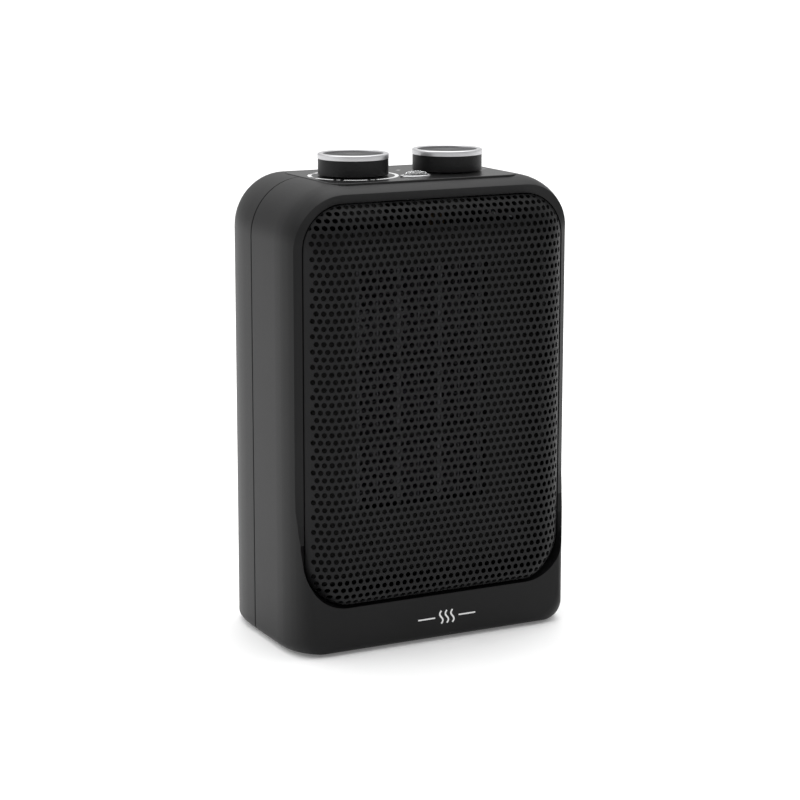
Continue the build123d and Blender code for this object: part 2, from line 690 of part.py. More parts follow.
def motor_shaft():
    """Steel spindle of the motor."""
    return rod_y(0, CORE_Z, SPINDLE_RADIUS, FAN_FRONT - 3, STATOR_FRONT + STATOR_DEEP + 7)


def fan_clip():
    """Spring clip that keeps the fan on its spindle."""
    clip = rod_y(0, CORE_Z, 5.5, FAN_FRONT - 1.1, FAN_FRONT - 0.05)
    return clip - rod_y(0, CORE_Z, SPINDLE_RADIUS + 0.02, FAN_FRONT - 3, FAN_FRONT + 1)


def motor_rotor():
    """Squirrel cage rotor."""
    rotor = rod_y(0, CORE_Z, ROTOR_RADIUS, STATOR_FRONT + 0.5, STATOR_FRONT + STATOR_DEEP - 0.5)
    return rotor - rod_y(0, CORE_Z, SPINDLE_RADIUS + 0.02, STATOR_FRONT - 1, STATOR_FRONT + 20)


LIMB_LOW = CORE_Z - 42.0
LIMB_HIGH = CORE_Z - 34.0


def motor_stator():
    """Laminated stator with a bore for the rotor and a window for the winding."""
    back = STATOR_FRONT + STATOR_DEEP
    stack = block((-29, 29), (STATOR_FRONT, back), (LIMB_LOW, CORE_Z + 20))
    stack = fillet(stack.edges().filter_by(Axis.Y), 3)
    stack -= block((-18, 18), (STATOR_FRONT - 1, back + 1), (LIMB_HIGH, CORE_Z - 19))
    stack -= rod_y(0, CORE_Z, ROTOR_RADIUS + 0.4, STATOR_FRONT - 1, back + 1)
    for x in (-24, 24):
        stack -= rod_y(x, CORE_Z, 1.8, STATOR_FRONT - 1, back + 1)
    return stack


def motor_winding():
    """Copper winding with its bobbin round the lower limb."""
    winding = block((-17, 17), (STATOR_FRONT - 2.8, STATOR_FRONT + STATOR_DEEP + 2.8),
                    (LIMB_LOW - 4, LIMB_HIGH + 12))
    winding = fillet(winding.edges().filter_by(Axis.X), 2.5)
    return winding - block((-20, 20), (STATOR_FRONT - 0.2, STATOR_FRONT + STATOR_DEEP + 0.2),
                           (LIMB_LOW - 0.2, LIMB_HIGH + 0.2))


def bearing_bracket(front, boss_front, boss_back):
    """Pressed strip across the motor with a cup for a bush."""
    strip = block((-29, 29), (front, front + 1.5), (CORE_Z - 7, CORE_Z + 7))
    strip += rod_y(0, CORE_Z, 7, boss_front, boss_back)
    strip -= rod_y(0, CORE_Z, 4.0, boss_front - 1, boss_back + 1)
    for x in (-24, 24):
        strip -= rod_y(x, CORE_Z, 1.8, front - 1, front + 3)
    return strip


FRONT_BRACKET_Y = STATOR_FRONT - 3.2
REAR_BRACKET_Y = STATOR_FRONT + STATOR_DEEP + 1.2


def motor_bushes():
    """Two sintered bearing bushes."""
    bushes = []
    for front in (FRONT_BRACKET_Y - 3, REAR_BRACKET_Y):
        bush = rod_y(0, CORE_Z, 3.98, front, front + 4.5)
        bushes.append(bush - rod_y(0, CORE_Z, SPINDLE_RADIUS + 0.04, front - 1, front + 6))
    return Compound(bushes)


def motor_screws():
    """Two long screws with nuts through mount, brackets and stator."""
    screws = []
    head = REAR_BRACKET_Y + 1.55
    for x in (-24, 24):
        screw = rod_y(x, CORE_Z, 1.6, MOUNT_Y - 2.3, head + 0.1)
        screw += rod_y(x, CORE_Z, 3.2, head, head + 2.2)
        screws.append(screw + rod_y(x, CORE_Z, 3.4, MOUNT_Y - 2.0, MOUNT_Y - 0.05))
    return Compound(screws)


def screw_y(x, z, radius, head_radius, tip, head_front, head_back):
    """Screw driven from the back."""
    shank = rod_y(x, z, radius, tip, head_front + 0.1)
    head = rod_y(x, z, head_radius, head_front, head_back)
    arm = head_radius * 0.6
    recess = (head_back - 0.8, head_back + 1)
    cross = block((x - arm, x + arm), recess, (z - 0.4, z + 0.4))
    cross += block((x - 0.4, x + 0.4), recess, (z - arm, z + arm))
    return shank + head - cross


def screw_z(x, y, radius, head_radius, head_low, head_high, tip):
    """Screw driven from below."""
    return rod_z(x, y, radius, head_high - 0.1, tip) + rod_z(x, y, head_radius, head_low, head_high)


def casing_screws():
    """Four long screws that hold the shells together."""
    front = BACK_Y - 17.0
    places = boss_places()
    return Compound([screw_y(x, z, 1.25, 3.2, -8, front + 0.02, front + 2.2) for x, z in places])


def duct_screws():
    """Four screws through shroud and frame into the front shell."""
    front = FLANGE_Y + 4.1
    places = duct_screw_places()
    return Compound([screw_y(x, z, 1.25, 3.0, FLANGE_Y - 7, front, front + 2) for x, z in places])


def mount_screws():
    """Four screws that hold the motor mount to the shroud."""
    front = MOUNT_Y + 1.55
    places = mount_posts()
    return Compound([screw_y(x, z, 1.15, 2.8, MOUNT_Y - 9, front, front + 1.8) for x, z in places])


def panel_screws():
    """Four small screws from under the deck into the panel."""
    low = PANEL_TOP - PANEL_THICK - DECK_THICK
    tip = PANEL_TOP - 0.9
    places = panel_screw_places()
    return Compound([screw_z(x, y, 0.95, 2.4, low - 1.6, low - 0.05, tip) for x, y in places])


def plate_screws():
    """Four screws that hold the control plate to the deck's posts."""
    low = PLATE_TOP - PLATE_THICK
    tip = PLATE_TOP + 4
    places = plate_screw_places()
    return Compound([screw_z(x, y, 1.05, 2.6, low - 1.8, low - 0.05, tip) for x, y in places])


# ---- base --------------------------------------------------------------------------------------
def rubber_feet():
    """Four round pads let into the underside."""
    feet = []
    for x, y in FOOT_PLACES:
        pad = rod_z(x, y, FOOT_RADIUS, 0, LOW_Z + FOOT_SINK)
        feet.append(fillet(pad.edges().group_by(Axis.Z)[0], 0.5))
    return Compound(feet)


def tip_plunger():
    """Plunger of the tip-over switch: the floor holds it in."""
    plunger = rod_z(TIP_X, TIP_Y, 3.0, 0, 9.5)
    plunger += rod_z(TIP_X, TIP_Y, 4.6, 9.4, 11)
    plunger += rod_z(TIP_X, TIP_Y, 1.8, 10.9, 19.5)
    return plunger


def plunger_spring():
    """Compression spring between the plunger's collar and the switch."""
    low = 11.45
    coil = Helix(pitch=1.45, height=5.8, radius=3.0)
    start = coil @ 0
    wire = Plane(origin=start, z_dir=coil % 0) * Circle(0.32)
    return Pos(TIP_X, TIP_Y, low) * sweep(wire, path=coil)


def tip_switch():
    """Snap switch over the plunger, with two blade terminals."""
    body = block((TIP_X - 10, TIP_X + 10), (TIP_Y - 5, TIP_Y + 5), (17.8, 32))
    body = fillet(body.edges().filter_by(Axis.Y), 1)
    body -= rod_z(TIP_X, TIP_Y, 2.2, 17, 22)
    for x in (TIP_X - 6, TIP_X + 6):
        body += block((x - 0.4, x + 0.4), (TIP_Y - 2.4, TIP_Y + 2.4), (31, 39))
    return body


def terminal_block():
    """Three-way terminal block for the supply leads."""
    body = block((24, 54), (TERMINAL_Y - 7, TERMINAL_Y + 7), (LOW_Z + WALL + 0.2, 18))
    body = fillet(body.edges().filter_by(Axis.Z), 1.5)
    for x in TERMINAL_PLACES:
        body -= rod_z(x, TERMINAL_Y, 2.6, 12, 19)
        body -= rod_y(x, 9.5, 1.8, TERMINAL_Y - 9, TERMINAL_Y + 9)
    return body


def terminal_screws():
    """Clamping screws of the terminal block."""
    screws = []
    for x in TERMINAL_PLACES:
        screw = rod_z(x, TERMINAL_Y, 2.4, 12.1, 17)
        screws.append(screw - block((x - 3, x + 3), (TERMINAL_Y - 0.4, TERMINAL_Y + 0.4), (16, 18)))
    return Compound(screws)


def cord_gland():
    """Flanged bush in the back through which the supply lead enters."""
    front = BACK_Y - 8.0
    gland = rod_y(GLAND_X, GLAND_Z, 6.0, front, REAR_TRIM_Y - 0.5)
    gland += rod_y(GLAND_X, GLAND_Z, 9.0, BACK_Y + 0.02, REAR_TRIM_Y)
    gland += rod_y(GLAND_X, GLAND_Z, 7.6, BACK_Y - WALL - 2.4, BACK_Y - WALL - 0.1)
    gland = fillet(gland.edges().group_by(Axis.Y)[-1], 0.6)
    return gland - rod_y(GLAND_X, GLAND_Z, GLAND_BORE, front - 1, REAR_TRIM_Y + 1)


save("front_shell", front_shell())
save("rear_shell", rear_shell())
save("front_grille", front_grille())
save("rear_grille", rear_grille())
save("control_panel", control_panel())
for control, place in (("mode", -KNOB_X), ("thermostat", KNOB_X)):
    save(f"{control}_knob_body", knob_body(place))
    save(f"{control}_knob_rim", knob_rim(place))
    save(f"{control}_knob_cap", knob_cap(place))
    save(f"{control}_knob_shaft", knob_shaft(place))
    save(f"{control}_nut", hexagon_nut(place))
save("mode_switch", mode_switch())
save("thermostat", thermostat())
save("bimetal_arm", bimetal_arm())
save("control_plate", control_plate())
save("indicator_lens", indicator_lens())
save("lens_bezel", lens_bezel())
save("neon_lamp", neon_lamp())
save("lamp_holder", lamp_holder())
save("ptc_bars", ptc_bars())
save("ptc_tiles", ptc_tiles())
save("ptc_strips", ptc_strips())
save("ptc_fins", ptc_fins())
save("upper_core_holder", core_holder(BAR_HIGH + 0.1, BAR_HIGH + 6.2, True))
save("lower_core_holder", core_holder(BAR_LOW - 6.2, BAR_LOW - 0.1, False))
save("heater_frame", heater_frame())
save("thermal_cutout", thermal_cutout())
save("thermal_fuse", thermal_fuse())
save("fan_shroud", fan_shroud())
save("motor_mount", motor_mount())
save("fan_impeller", fan_impeller())
save("fan_clip", fan_clip())
save("motor_shaft", motor_shaft())
save("motor_rotor", motor_rotor())
save("motor_stator", motor_stator())
save("motor_winding", motor_winding())
save("front_bearing_bracket", bearing_bracket(FRONT_BRACKET_Y, FRONT_BRACKET_Y - 3, FRONT_BRACKET_Y + 1.5))
save("rear_bearing_bracket", bearing_bracket(REAR_BRACKET_Y, REAR_BRACKET_Y, REAR_BRACKET_Y + 4.5))
save("motor_bushes", motor_bushes())
save("motor_screws", motor_screws())
save("casing_screws", casing_screws())
save("duct_screws", duct_screws())
save("mount_screws", mount_screws())
save("panel_screws", panel_screws())
save("plate_screws", plate_screws())
save("rubber_feet", rubber_feet())
save("tip_plunger", tip_plunger())
save("plunger_spring", plunger_spring())
save("tip_switch", tip_switch())
save("terminal_block", terminal_block())
save("terminal_screws", terminal_screws())
save("cord_gland", cord_gland())
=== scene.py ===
import json
from math import atan2, cos, pi, radians, sin, sqrt

import bmesh
import bpy
import numpy as np
from mathutils import Matrix, Vector


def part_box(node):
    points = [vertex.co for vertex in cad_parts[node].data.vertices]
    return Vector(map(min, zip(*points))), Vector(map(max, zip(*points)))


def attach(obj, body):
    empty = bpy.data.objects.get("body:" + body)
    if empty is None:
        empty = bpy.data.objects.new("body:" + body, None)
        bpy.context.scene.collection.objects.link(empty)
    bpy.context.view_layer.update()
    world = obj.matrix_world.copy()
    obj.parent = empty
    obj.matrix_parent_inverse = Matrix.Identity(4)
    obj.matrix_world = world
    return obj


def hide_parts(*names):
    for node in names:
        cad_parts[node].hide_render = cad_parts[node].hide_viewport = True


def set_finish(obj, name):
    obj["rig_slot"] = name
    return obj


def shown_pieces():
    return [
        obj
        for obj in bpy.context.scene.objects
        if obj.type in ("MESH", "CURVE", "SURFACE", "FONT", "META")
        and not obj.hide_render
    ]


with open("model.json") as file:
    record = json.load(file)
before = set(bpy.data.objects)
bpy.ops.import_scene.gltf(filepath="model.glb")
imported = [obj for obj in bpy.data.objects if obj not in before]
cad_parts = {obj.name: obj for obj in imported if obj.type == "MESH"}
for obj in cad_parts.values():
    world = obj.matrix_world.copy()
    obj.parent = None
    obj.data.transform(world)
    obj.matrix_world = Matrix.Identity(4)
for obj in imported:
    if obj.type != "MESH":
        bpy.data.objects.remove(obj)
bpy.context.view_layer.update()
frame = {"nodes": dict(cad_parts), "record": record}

# Everything below is in millimetres until place() turns it into metres.
MM = 0.001


def cad(node):
    """Lowest and highest corner of a CAD node, in millimetres."""
    low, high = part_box(node)
    return low / MM, high / MM


front_low, front_high = cad("front_shell")
rear_low, rear_high = cad("rear_shell")
sheet_low, sheet_high = cad("front_grille")
panel_low, panel_high = cad("control_panel")

HALF = front_high.x
BASE = front_low.z
TOP = rear_high.z
FACE = front_low.y
SEAM = rear_low.y
BACK = rear_high.y
WALL = 2.4
# Inset and depth of the soft side, top and low edges, and of the low corners.
FRONT_EDGES = ((9.1, 27.3), (10.0, 20.0), (3.2, 3.2), (13.0, 25.0))
REAR_EDGES = ((12.0, 30.0), (12.0, 12.0), (4.0, 6.0), (5.0, 8.0))
SHEET_FRONT = sheet_low.y
SHEET = 0.8
OPEN_HALF = sheet_high.x + 0.7
OPEN_LOW = sheet_low.z - 0.7
OPEN_HIGH = sheet_high.z + 0.7
OPEN_RADIUS = 24.0
CREASE = (81.0, 26.0, 245.4, 27.2, 25.5)
COLLAR_BACK = -37.6
CHIN_Y = -42.0            # front of the opening's edge at the chin
CHIN_RISE = 24.0          # height over which that edge comes back by a millimetre
WIDE_FROM = 42.0          # height where the band beside the opening starts to widen
WIDE_OVER = 45.0          # height over which it widens
NAMED_ROW = 42            # the row of holes that the others are counted from
ROW_LENGTH = 61.36        # where that row is, along the bent sheet
PUNCHED_LOW = 29.0        # first and last place of a row with holes, along the bent sheet
PUNCHED_HIGH = 246.0
FIRST_COLUMN = -75.0      # first hole of a row, along the bent sheet
COLUMNS = 38
SCREW_HEAD = 3.2          # half the head of a casing screw
JUST_INSIDE = 0.99999     # keeps the flange's edge on the sheet's own side of the outline
PITCH = 4.0
HOLE_RADIUS = 1.42
RIM_WIDTH = 3.0


# ---------------------------------------------------------------- mesh helpers
def place(name, points, faces, body, slot=None, angle=30.0):
    """A new mesh piece from points in millimetres, smooth except over sharp edges."""
    mesh = bpy.data.meshes.new(name)
    mesh.from_pydata([(x * MM, y * MM, z * MM) for x, y, z in points], [], faces)
    piece = bpy.data.objects.new(name, mesh)
    bpy.context.scene.collection.objects.link(piece)
    finish_mesh(piece, angle)
    if body:
        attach(piece, body)
    if slot:
        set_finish(piece, slot)
    return piece


def finish_mesh(piece, angle):
    """Weld, turn the faces outwards and mark the edges sharper than the angle."""
    bm = bmesh.new()
    bm.from_mesh(piece.data)
    bmesh.ops.remove_doubles(bm, verts=bm.verts, dist=0.004 * MM)
    bmesh.ops.dissolve_degenerate(bm, edges=bm.edges, dist=0.001 * MM)
    bmesh.ops.recalc_face_normals(bm, faces=bm.faces)
    for face in bm.faces:
        face.smooth = True
    for edge in bm.edges:
        edge.smooth = len(edge.link_faces) == 2 and edge.calc_face_angle(0) < radians(angle)
    bm.to_mesh(piece.data)
    bm.free()


def bridge(rings, closed=False):
    """Faces between rings of the same length, each ring closed."""
    count = len(rings[0])
    points = [point for ring in rings for point in ring]
    faces = []
    pairs = len(rings) if closed else len(rings) - 1
    for r in range(pairs):
        a = r * count
        b = ((r + 1) % len(rings)) * count
        for i in range(count):
            j = (i + 1) % count
            faces.append((a + i, a + j, b + j, b + i))
    return points, faces


def joined(*parts):
    """Several (points, faces) pairs as one."""
    points, faces = [], []
    for more_points, more_faces in parts:
        start = len(points)
        points.extend(more_points)
        faces.extend(tuple(i + start for i in face) for face in more_faces)
    return points, faces


def prism(flat, low, high, along):
    """A closed prism from a flat ring; along is the axis it is extruded on."""
    rings = [[along(u, v, height) for u, v in flat] for height in (low, high)]
    points, faces = bridge(rings)
    count = len(flat)
    faces.append(tuple(range(count)))
    faces.append(tuple(range(count, 2 * count)))
    return points, faces


def upright(u, v, height):
    return (u, v, height)


def lying(u, v, depth):
    return (u, depth, v)


def circle(x, y, radius, count=48):
    return [(x + radius * cos(2 * pi * i / count), y + radius * sin(2 * pi * i / count))
            for i in range(count)]


def rounded_box(half_x, half_y, radius, x=0.0, y=0.0, steps=10):
    """A rounded rectangle about (x, y)."""
    ring = []
    for quarter, (sx, sy) in enumerate(((1, 1), (-1, 1), (-1, -1), (1, -1))):
        for i in range(steps + 1):
            a = (quarter + i / steps) * pi / 2
            ring.append((x + sx * (half_x - radius) + radius * cos(a),
                         y + sy * (half_y - radius) + radius * sin(a)))
    return ring


def lathe(profile, x, y, count=96):
    """A closed turned piece from (radius, height) points, about an upright axis."""
    rings = []
    for radius, height in profile:
        rings.append([(x + radius * cos(2 * pi * i / count), y + radius * sin(2 * pi * i / count), height)
                      for i in range(count)])
    return bridge(rings, closed=True)


def cut(piece, parts, angle):
    """Take closed cutters out of a piece."""
    tool = place("cutter", *joined(*parts), None)
    modifier = piece.modifiers.new("cut", "BOOLEAN")
    modifier.operation = "DIFFERENCE"
    modifier.solver = "EXACT"
    modifier.object = tool
    evaluated = piece.evaluated_get(bpy.context.evaluated_depsgraph_get())
    mesh = bpy.data.meshes.new_from_object(evaluated)
    piece.modifiers.clear()
    piece.data = mesh
    bpy.data.objects.remove(tool)
    finish_mesh(piece, angle)


# ---------------------------------------------------------------- casing
def outline(half, low, high, high_radius, low_radius, corner=14, across=14, side=16):
    """An upright rounded rectangle, from the middle of its bottom round to the right."""
    right = [(i / across * (half - low_radius), low) for i in range(across)]
    for i in range(corner + 1):
        a = -pi / 2 + pi / 2 * i / corner
        right.append((half - low_radius + low_radius * cos(a), low + low_radius + low_radius * sin(a)))
    for i in range(1, side):
        right.append((half, low + low_radius + i / side * (high - high_radius - low - low_radius)))
    for i in range(corner + 1):
        a = pi / 2 * i / corner
        right.append((half - high_radius + high_radius * cos(a), high - high_radius + high_radius * sin(a)))
    for i in range(1, across):
        right.append(((half - high_radius) * (1 - i / across), high))
    right.append((0.0, high))
    return right + [(-x, z) for x, z in reversed(right[1:-1])]


def soft(depth, edge):
    """Inset of an elliptical edge at a depth behind the face it rounds into."""
    inset, reach = edge
    left = max(0.0, 1.0 - depth / reach)
    return inset * (1.0 - sqrt(1.0 - left * left))


def section(depth, edges, shrink=0.0):
    """Half width, low, high, upper and lower corner radius of a casing section."""
    side, top, low, corner = (soft(depth, edge) for edge in edges)
    return (HALF - side - shrink, BASE + low + shrink, TOP - top - shrink,
            30.0 - 0.5 * (side + top) - shrink, max(1.2, 4.0 + corner - shrink))


def casing_ring(depth, y, edges, shrink=0.0):
    """Casing section at a depth behind its end face, drawn at this y."""
    flat = outline(*section(depth, edges, shrink))
    return [(x, y, z) for x, z in flat]


def depths(edges, fine):
    """Depths at which the rounded end is drawn, dense where an edge turns fast."""
    found = {0.0}
    for inset, reach in edges:
        steps = fine if reach > 20 else [i * 7.5 for i in range(13)]
        found.update(round(reach * (1 - cos(radians(a))), 4) for a in steps)
    kept = [0.0]
    for depth in sorted(found):
        if depth - kept[-1] > 0.012:
            kept.append(depth)
    return kept


FINE = (0.8, 1.6, 2.6, 3.8, 5.2, 7, 9.5, 13, 18, 25, 34, 45, 58, 74, 90)


def outside_section(x, z, depth):
    """How far a point lies outside the front casing's section at a depth."""
    half, low, high, upper, lower = section(depth, FRONT_EDGES)
    if z > high - upper:
        across, along, radius = abs(x) - (half - upper), z - (high - upper), upper
    elif z < low + lower:
        across, along, radius = abs(x) - (half - lower), (low + lower) - z, lower
    else:
        return abs(x) - half
    return sqrt(max(across, 0) ** 2 + max(along, 0) ** 2) + min(max(across, along), 0) - radius


def face_depth(x, z):
    """Depth at which the front casing's surface passes through a point."""
    if outside_section(x, z, 0.0) <= 0:
        return 0.0
    near, far = 0.0, 27.3
    for _ in range(30):
        middle = (near + far) / 2
        if outside_section(x, z, middle) > 0:
            near = middle
        else:
            far = middle
    return far


def outlet_cutter():
    """Plug that cuts the outlet opening and the sloping band round it."""
    inner = outline(OPEN_HALF, OPEN_LOW, OPEN_HIGH, OPEN_RADIUS, OPEN_RADIUS, corner=24)
    crease = outline(*CREASE, corner=24)
    front, slope, lip, back = [], [], [], []
    for (x, z), (cx, cz) in zip(inner, crease):
        rise = min(1.0, max(0.0, (z - OPEN_LOW) / CHIN_RISE))
        y = CHIN_Y + rise * rise * (3 - 2 * rise)
        widening = min(1.0, max(0.0, (z - WIDE_FROM) / WIDE_OVER))
        cx = x + (cx - x) * (0.35 + 0.65 * widening * widening * (3 - 2 * widening))
        cy = FACE + face_depth(cx, cz)
        out = (cx + 0.3 * (cx - x), cy + 0.3 * (cy - y), cz + 0.3 * (cz - z))
        front.append((out[0], -60.0, out[2]))
        slope.append(out)
        lip.append((x, y, z))
        back.append((x, -30.0, z))
    points, faces = bridge([front, slope, lip, back])
    count = len(front)
    faces.append(tuple(range(count)))
    faces.append(tuple(range(3 * count, 4 * count)))
    return points, faces


def front_casing():
    """Front half as a closed box: outer skin, face, inner skin and tongue."""
    rings = [casing_ring(99, SEAM + 2.5, FRONT_EDGES, WALL), casing_ring(99, SEAM + 2.5, FRONT_EDGES, 1.35),
             casing_ring(99, SEAM - 0.32, FRONT_EDGES, 1.35), casing_ring(99, SEAM - 0.32, FRONT_EDGES, 0.3),
             casing_ring(99, SEAM - 0.42, FRONT_EDGES, 0.1), casing_ring(99, SEAM - 0.65, FRONT_EDGES)]
    steps = depths(FRONT_EDGES, FINE)
    rings += [casing_ring(depth, FACE + depth, FRONT_EDGES) for depth in reversed(steps)]
    start = COLLAR_BACK - FACE - WALL
    inner = [start] + [depth for depth in steps if depth > start + 0.3]
    skin = [casing_ring(depth, FACE + WALL + depth, FRONT_EDGES, WALL) for depth in inner]
    points, faces = bridge(skin + rings)
    count = len(rings[0])
    last = len(points) - count
    faces.append(tuple(range(count)))
    faces.append(tuple(range(last, last + count)))
    return points, faces


def intake_ring(grow, y):
    radius = 9.0 + grow
    flat = outline(52.0 + grow, 70.0 - grow, 206.0 + grow, radius, radius)
    return [(x, y, z) for x, z in flat]


def rear_casing():
    """Rear half: outer skin, back face, intake opening, inner skin and rebate."""
    rings = [casing_ring(99, SEAM + 0.32, REAR_EDGES, 0.3), casing_ring(99, SEAM + 0.42, REAR_EDGES, 0.1),
             casing_ring(99, SEAM + 0.65, REAR_EDGES)]
    steps = depths(REAR_EDGES, FINE)
    rings += [casing_ring(depth, BACK - depth, REAR_EDGES) for depth in reversed(steps)]
    rings += [intake_ring(0.4, BACK), intake_ring(0, BACK - 0.4), intake_ring(0, BACK - WALL)]
    rings += [casing_ring(depth, BACK - WALL - depth, REAR_EDGES, WALL) for depth in steps]
    rings += [casing_ring(99, SEAM + 2.8, REAR_EDGES, WALL), casing_ring(99, SEAM + 2.8, REAR_EDGES, 1.15),
              casing_ring(99, SEAM + 0.32, REAR_EDGES, 1.15)]
    return bridge(rings, closed=True)


def top_and_base_cutters():
    """Room for the panel, the lens, the feet and the plunger."""
    half_x = panel_high.x + 0.3
    half_y = (panel_high.y - panel_low.y) / 2 + 0.3
    middle = (panel_high.y + panel_low.y) / 2
    pocket = prism(rounded_box(half_x, half_y, 8.3, 0, middle), panel_low.z, TOP + 8, upright)
    lens_low, lens_high = cad("indicator_lens")
    lens_y = (lens_low.y + lens_high.y) / 2
    well = prism(rounded_box(8.0, 4.5, 4.4, 0, lens_y), TOP - 9, panel_low.z + 0.5, upright)
    feet = []
    for x, y in foot_places():
        feet.append(prism(circle(x, y, 6.2), -1, BASE + 0.8, upright))
    tip_low, tip_high = cad("tip_plunger")
    tip_x, tip_y = (tip_low.x + tip_high.x) / 2, (tip_low.y + tip_high.y) / 2
    tip = prism(circle(tip_x, tip_y, 3.3), -1, BASE + 6, upright)
    return pocket, well, feet, tip


def foot_places():
    low, high = cad("rubber_feet")
    return [(x, y) for x in (low.x + 6, high.x - 6) for y in (low.y + 6, high.y - 6)]


pocket, well, feet, tip = top_and_base_cutters()
front_piece = place("front_casing", *front_casing(), "housing", "shell_plastic", 17)
cut(front_piece, [outlet_cutter()], 17)
cut(front_piece, [pocket, tip] + [foot for foot, (x, y) in zip(feet, foot_places()) if y < SEAM], 17)
cut(front_piece, [well], 17)
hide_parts("front_shell")

screw_low, screw_high = cad("casing_screws")
boss_places = [(x, z) for x in (screw_low.x + SCREW_HEAD, screw_high.x - SCREW_HEAD)
               for z in (screw_low.z + SCREW_HEAD, screw_high.z - SCREW_HEAD)]
gland_low, gland_high = cad("cord_gland")
rear_piece = place("rear_casing", *rear_casing(), "housing", "shell_plastic", 17)
recesses = [prism(circle(x, z, 3.6, 32), BACK - 9, BACK + 3, lying) for x, z in boss_places]
gland_x, gland_z = (gland_low.x + gland_high.x) / 2, (gland_low.z + gland_high.z) / 2
recesses.append(prism(circle(gland_x, gland_z, 6.2), BACK - 6, BACK + 3, lying))
cut(rear_piece, [pocket] + recesses + [foot for foot, (x, y) in zip(feet, foot_places()) if y > SEAM], 17)
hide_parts("rear_shell")

sleeves = []
for x, z in boss_places:
    rings = []
    for radius, y in ((4.4, screw_high.y - 2.2), (4.4, BACK - 5.5), (3.6, BACK - 5.5),
                      (3.6, screw_high.y - 2.0), (1.8, screw_high.y - 2.0), (1.8, screw_high.y - 2.2)):
        rings.append([(u, y, v) for u, v in circle(x, z, radius, 32)])
    sleeves.append(bridge(rings, closed=True))
place("screw_sleeves", *joined(*sleeves), "housing", "shell_plastic")


# ---------------------------------------------------------------- perforated sheet
FLAT = (57.6, 36.2, 219.8)
EDGE = (sheet_high.x, sheet_low.z, sheet_high.z)
BENDS = (23.0, 9.5, 26.0)
CORNER_FLAT, CORNER_EDGE = 6.0, 23.3


def unroll_to_face(u, v):
    """From lengths along the bent sheet to x and z."""
    out = np.abs(u)
    bent = FLAT[0] + BENDS[0] * np.sin(np.clip((out - FLAT[0]) / BENDS[0], 0, pi / 2))
    x = np.sign(u) * np.where(out > FLAT[0], bent, out)
    down = FLAT[1] - BENDS[1] * np.sin(np.clip((FLAT[1] - v) / BENDS[1], 0, pi / 2))
    up = FLAT[2] + BENDS[2] * np.sin(np.clip((v - FLAT[2]) / BENDS[2], 0, pi / 2))
    return x, np.where(v < FLAT[1], down, np.where(v > FLAT[2], up, v))


def past(x, z, run):
    """Signed distance outside the rounded rectangle at a run from the flat to the edge."""
    half = FLAT[0] + run * (EDGE[0] - FLAT[0])
    low = FLAT[1] + run * (EDGE[1] - FLAT[1])
    high = FLAT[2] + run * (EDGE[2] - FLAT[2])
    radius = CORNER_FLAT + run * (CORNER_EDGE - CORNER_FLAT)
    qx = np.abs(x) - (half - radius)
    qz = np.abs(z - (low + high) / 2) - ((high - low) / 2 - radius)
    outside = np.hypot(np.maximum(qx, 0), np.maximum(qz, 0))
    return outside + np.minimum(np.maximum(qx, qz), 0) - radius


def kept_inside(x, z):
    """Points beyond the sheet's edge are moved onto it."""
    half, low, high, radius = EDGE[0], EDGE[1], EDGE[2], CORNER_EDGE
    middle = (low + high) / 2
    qx = np.abs(x) - (half - radius)
    qz = np.abs(z - middle) - ((high - low) / 2 - radius)
    beyond = past(x, z, 1.0)
    length = np.maximum(np.hypot(np.maximum(qx, 0), np.maximum(qz, 0)), 1e-9)
    gx = np.sign(x) * np.maximum(qx, 0) / length
    gz = np.sign(z - middle) * np.maximum(qz, 0) / length
    move = np.maximum(beyond, 0)
    return x - gx * move, z - gz * move, beyond


def dome_depth(x, z):
    """How far the bent sheet lies behind its flat."""
    low = np.zeros_like(x)
    high = np.ones_like(x)
    for _ in range(26):
        middle = (low + high) / 2
        outside = past(x, z, middle) > 0
        low = np.where(outside, middle, low)
        high = np.where(outside, high, middle)
    run = np.where(past(x, z, 0.0) <= 0, 0.0, (low + high) / 2)
    spans = (EDGE[0] - FLAT[0], FLAT[1] - EDGE[1], EDGE[2] - FLAT[2])
    side, down, up = (bend * (1 - np.sqrt(np.maximum(1 - (run * span / bend) ** 2, 0)))
                      for bend, span in zip(BENDS, spans))
    corner_x = np.abs(x) - (FLAT[0] - 4.0)
    corner_up = z - (FLAT[2] - 4.0)
    corner_down = (FLAT[1] + 4.0) - z
    away = np.maximum(np.maximum(corner_up, corner_down), 0)
    turn = np.arctan2(away, np.maximum(corner_x, 1e-6)) / (pi / 2)
    turn = np.where(corner_x <= 0, 1.0, turn)
    share = turn * turn * (3 - 2 * turn)
    return side * (1 - share) + np.where(corner_up > corner_down, up, down) * share


def sheet_surface(x, z, inward):
    """Points of the sheet, moved inwards along its normal."""
    e = 0.05
    y = dome_depth(x, z)
    slope_x = (dome_depth(x + e, z) - dome_depth(x - e, z)) / (2 * e)
    slope_z = (dome_depth(x, z + e) - dome_depth(x, z - e)) / (2 * e)
    slope = np.sqrt(1 + slope_x ** 2 + slope_z ** 2)
    limit = np.minimum(1.0, 3.0 / slope)
    px = x - inward * slope_x / slope * limit
    pz = z - inward * slope_z / slope * limit
    return px, SHEET_FRONT + y + inward / slope, pz


